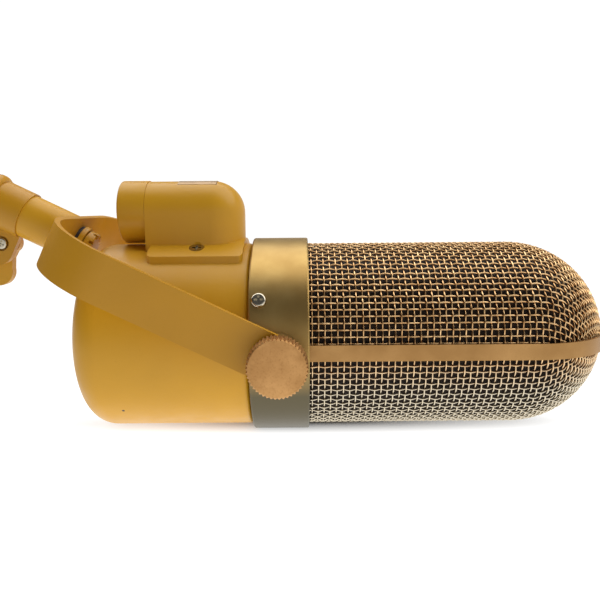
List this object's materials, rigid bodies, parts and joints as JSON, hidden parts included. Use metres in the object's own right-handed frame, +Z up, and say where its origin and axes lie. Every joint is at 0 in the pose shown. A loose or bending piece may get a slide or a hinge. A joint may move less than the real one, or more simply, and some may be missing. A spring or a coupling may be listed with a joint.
{
  "type": "ribbon microphone",
  "caption": "Side-address ribbon microphone: painted cylindrical body, woven wire grille with domed end, tilting in a U-shaped yoke on a split swivel clamp.",
  "frame": {"origin": "centre of the mouth of the stand adapter's threaded socket", "axes": "+X from the stand towards the grille's domed tip, +Z up, tilt axis along Y, connector head on top"},
  "size_m": [0.3046, 0.1194, 0.1303],
  "materials": {
    "mustard_paint": "satin powder coat",
    "collar_bronze": "satin",
    "knob_bronze": "bead blasted",
    "wire_bronze": "woven wire, bright",
    "band_bronze": "satin",
    "gauze": "darkened fine gauze",
    "nickel_steel": "nickel plated",
    "steel": "satin",
    "aluminium": "machined",
    "brass": "machined",
    "iron": "soft iron, satin",
    "magnet": "ground",
    "rubber": "matt",
    "black_plastic": "moulded",
    "nylon": "natural",
    "ribbon_foil": "corrugated foil",
    "wire_insulation": "insulation",
    "coil_tape": "coil tape",
    "plate_print": "satin blank",
    "gold_pins": "gilt"
  },
  "bodies": {
    "stand_adapter": {"stand_adapter": "mustard_paint", "thread_insert": "brass"},
    "swivel_clamp": {"swivel_clamp": "mustard_paint", "pinch_screw": "nickel_steel", "lever_washer": "steel", "tilt_bolt": "nickel_steel", "tilt_washer": "nylon"},
    "yoke": {"yoke_strap": "mustard_paint", "stem_tube": "mustard_paint", "stem_plug": "brass", "yoke_nut_washer": "black_plastic", "yoke_nut": "mustard_paint"},
    "microphone": {"housing_shell": "mustard_paint", "collar_ring": "collar_bronze", "collar_screws": "nickel_steel", "chassis_plate": "aluminium", "basket_ring": "brass", "upper_grille_half": "wire_bronze", "lower_grille_half": "wire_bronze", "inner_screen": "gauze", "grille_band": "band_bronze", "connector_housing": "mustard_paint", "connector_cup": "mustard_paint", "xlr_insulator": "black_plastic", "xlr_pins": "gold_pins", "output_leads": "wire_insulation", "flange_screws": "nickel_steel", "name_plate": "plate_print", "near_pivot_boss": "collar_bronze", "far_pivot_boss": "collar_bronze", "pivot_washers": "nylon", "base_end_block": "brass", "tip_end_block": "brass", "motor_rails": "brass", "rail_screws": "steel", "pole_pieces": "iron", "magnets": "magnet", "ribbon": "ribbon_foil", "ribbon_clamps": "brass", "clamp_screws": "steel", "motor_posts": "brass", "shock_grommets": "rubber", "post_nuts": "steel", "ribbon_leads": "wire_insulation", "plate_standoffs": "aluminium", "standoff_screws": "steel", "transformer_plate": "aluminium", "transformer_can": "steel", "transformer_core": "iron", "transformer_winding": "coil_tape", "core_pads": "rubber"},
    "near_thumb_knob": {"near_thumb_knob": "knob_bronze", "near_pivot_stud": "steel", "near_knob_washer": "knob_bronze"},
    "far_thumb_knob": {"far_thumb_knob": "knob_bronze", "far_pivot_stud": "steel", "far_knob_washer": "knob_bronze"},
    "clamp_lever": {"clamp_lever": "mustard_paint"},
    "tilt_knob": {"tilt_knob": "black_plastic"}
  },
  "joints": [
    {"name": "stand_tilt", "type": "hinge", "parent": "stand_adapter", "child": "swivel_clamp", "pos_m": [0.04449, 0, -0.0217], "axis": [0, 1, 0], "range_deg": [-60, 60]},
    {"name": "yoke_swivel", "type": "hinge", "parent": "swivel_clamp", "child": "yoke", "pos_m": [0.05752, 0, -0.02806], "axis": [-0.8988, 0, 0.4384], "continuous": true},
    {"name": "mic_tilt", "type": "hinge", "parent": "yoke", "child": "microphone", "pos_m": [0.16676, 0, -0.08011], "axis": [0, 1, 0], "range_deg": [-10, 160]},
    {"name": "near_knob_turn", "type": "hinge", "parent": "microphone", "child": "near_thumb_knob", "pos_m": [0.16676, -0.055, -0.08011], "axis": [0, -1, 0], "range_deg": [0, 720]},
    {"name": "far_knob_turn", "type": "hinge", "parent": "microphone", "child": "far_thumb_knob", "pos_m": [0.16676, 0.055, -0.08011], "axis": [0, 1, 0], "range_deg": [0, 720]},
    {"name": "clamp_lever_turn", "type": "hinge", "parent": "swivel_clamp", "child": "clamp_lever", "pos_m": [0.0522, 0.0054, -0.04148], "axis": [0, -1, 0], "range_deg": [0, 80]},
    {"name": "tilt_knob_turn", "type": "hinge", "parent": "swivel_clamp", "child": "tilt_knob", "pos_m": [0.04449, 0.016, -0.0217], "axis": [0, 1, 0], "range_deg": [0, 720]}
  ]
}
